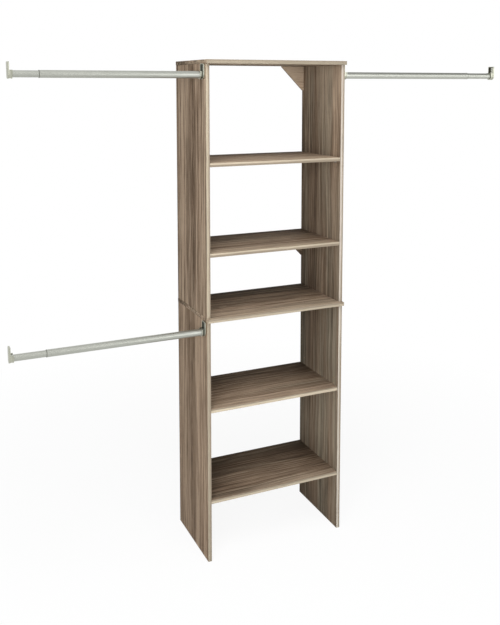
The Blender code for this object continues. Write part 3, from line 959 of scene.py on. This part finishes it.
def placePin(master, node, metal):
    side = -1 if "_left_" in node else 1
    low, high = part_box(node)
    pin = copyPiece(master, node + "_turned")
    middle = (low + high) / 2
    headEnd = low.x if side > 0 else high.x
    inner = headEnd + side * (pinLook["head"] + pinLook["gap"])
    placePiece(pin, (inner, middle.y, middle.z), side)
    finishPiece(pin, node + "_turned", node, [metal])


beech = dowelMaterial()
shelfPin = makePin()
for nodeName, nodeObject in frame["nodes"].items():
    if nodeName.endswith("shelf_pin"):
        placePin(shelfPin, nodeName, pinMetal)
    if nodeName.endswith("dowel"):
        nodeObject.data.materials.clear()
        nodeObject.data.materials.append(beech)
bpy.data.objects.remove(shelfPin, do_unlink=True)
print("shelf pins and dowels done")

# floor, light and camera
floorLook = {"size": 60.0, "drop": 0.0005, "colour": (0.86, 0.86, 0.86), "roughness": 0.9,
             "glow": 0.91, "clear": (0.9, 2.6)}
skyLook = {"front": 0.25, "back": 0.09, "fade": (-0.6, 0.6), "colour": (0.86, 1.0, 0.98),
           "cardStrength": 0.2, "cardX": (0.40, 0.52), "cardZ": (0.40, 0.60)}
lampLook = {
    "key": {"spot": (-2.8, -4.0, 1.9), "target": (0, 0, 1.0), "size": (3.2, 2.4), "power": 225.0},
    "top": {"spot": (-1.0, -2.2, 4.6), "target": (0, -0.2, 1.0), "size": (4.0, 2.4), "power": 135.0},
    "glow": {"spot": (-1.0, -1.4, 4.4), "target": (0, 0, 2.0), "size": (4.0, 2.4), "power": 12.0},
    "panel": {"spot": (1.6, -3.8, 2.1), "target": (0, 0, 2.0), "size": (1.8, 2.6), "power": 30.0},
    "side": {"spot": (4.2, -1.8, 2.2), "target": (0.6, 0, 1.4), "size": (2.6, 2.6), "power": 35.0},
    "back": {"spot": (3.2, 3.4, 0.4), "target": (0, 0, 1.0), "size": (2.4, 0.6), "power": 90.0},
}
mirroredLamps = ("glow", "panel", "side")  # the ones that metal shows
white = (1.0, 1.0, 1.0)


def seenDirectly(graph):
    # 1 where the camera, a mirror-like ray or a ray through glass looks, 0 for light that spreads
    path = graph.nodes.new("ShaderNodeLightPath")
    seen = path.outputs["Is Camera Ray"]
    for kind in ("Is Glossy Ray", "Is Transmission Ray"):
        seen = graph.math("MAXIMUM", seen, path.outputs[kind])
    return seen


def darkCard(graph, x, z):
    # the strength of the white that metal mirrors, lower up to the right, where a dark card hangs in a studio
    amount = graph.nodes.new("ShaderNodeLightPath").outputs["Is Glossy Ray"]
    for place, edges in ((x, skyLook["cardX"]), (z, skyLook["cardZ"])):
        amount = graph.math("MULTIPLY", amount, graph.mapRange(place, edges, (0.0, 1.0)))
    return graph.mapRange(amount, (0.0, 1.0), (1.0, skyLook["cardStrength"]))


def makeFloor():
    look = floorLook
    deselectAll()
    bpy.ops.mesh.primitive_plane_add(size=look["size"], location=(0, 0, -look["drop"]))
    floor = bpy.context.object
    floor.name = "floor"
    graph = newGraph("pale_floor")
    graph.shader.inputs["Base Color"].default_value = (*look["colour"], 1.0)
    graph.shader.inputs["Roughness"].default_value = look["roughness"]
    graph.shader.inputs["Specular IOR Level"].default_value = 0.0
    glow = graph.nodes.new("ShaderNodeEmission")
    mix = graph.nodes.new("ShaderNodeMixShader")
    # the shadow is kept near the object, and the floor turns white further out
    axes = graph.axes()
    near, far = look["clear"]
    away = graph.math("SUBTRACT", graph.distance(axes["X"], axes["Y"]), near)
    share = graph.math("DIVIDE", away, far - near, clamp=True)
    share = graph.math("ADD", graph.math("MULTIPLY", share, 1 - look["glow"]), look["glow"])
    graph.links.new(graph.math("MULTIPLY", seenDirectly(graph), share), mix.inputs[0])
    graph.links.new(graph.shader.outputs[0], mix.inputs[1])
    graph.links.new(glow.outputs[0], mix.inputs[2])
    graph.links.new(mix.outputs[0], graph.nodes["Material Output"].inputs["Surface"])
    floor.data.materials.append(graph.owner)


def makeWorld():
    look = skyLook
    world = bpy.data.worlds.new("studio")
    bpy.context.scene.world = world
    graph = Graph(world)
    background = graph.nodes["Background"]
    axes = graph.axes("Generated")
    seen = seenDirectly(graph)
    graph.links.new(graph.mixColours(seen, look["colour"], white), background.inputs["Color"])
    sky = graph.mapRange(axes["Y"], look["fade"], (look["front"], look["back"]))
    strength = graph.mapRange(seen, (0.0, 1.0), (sky, darkCard(graph, axes["X"], axes["Z"])))
    graph.links.new(strength, background.inputs["Strength"])


def addLamp(name, look):
    lamp = bpy.data.lights.new(name, "AREA")
    lamp.shape = "RECTANGLE"
    lamp.size, lamp.size_y = look["size"]
    lamp.energy = look["power"]
    holder = bpy.data.objects.new(name, lamp)
    holder.location = look["spot"]
    way = Vector(look["target"]) - Vector(look["spot"])
    holder.rotation_euler = way.to_track_quat("-Z", "Y").to_euler()
    bpy.context.scene.collection.objects.link(holder)
    holder.visible_camera = False
    holder.visible_glossy = name in mirroredLamps


makeFloor()
makeWorld()
for lampName, lampSettings in lampLook.items():
    addLamp(lampName, lampSettings)

cameraLook = {"spot": (-1.4785, -3.0955, 1.9985), "turn": 24.443, "tilt": 5.861, "focalPixels": 791.1,
              "shift": -0.236, "sensor": 36.0, "longSidePixels": 625}
camera = bpy.data.objects.new("camera", bpy.data.cameras.new("camera"))
camera.data.sensor_width = cameraLook["sensor"]
camera.data.lens = cameraLook["focalPixels"] * cameraLook["sensor"] / cameraLook["longSidePixels"]
camera.data.shift_y = cameraLook["shift"]
camera.location = cameraLook["spot"]
camera.rotation_euler = (math.radians(90 - cameraLook["tilt"]), 0, math.radians(-cameraLook["turn"]))
bpy.context.scene.collection.objects.link(camera)
bpy.context.scene.camera = camera
bpy.context.scene.view_settings.view_transform = "Standard"
print("floor, light and camera done")
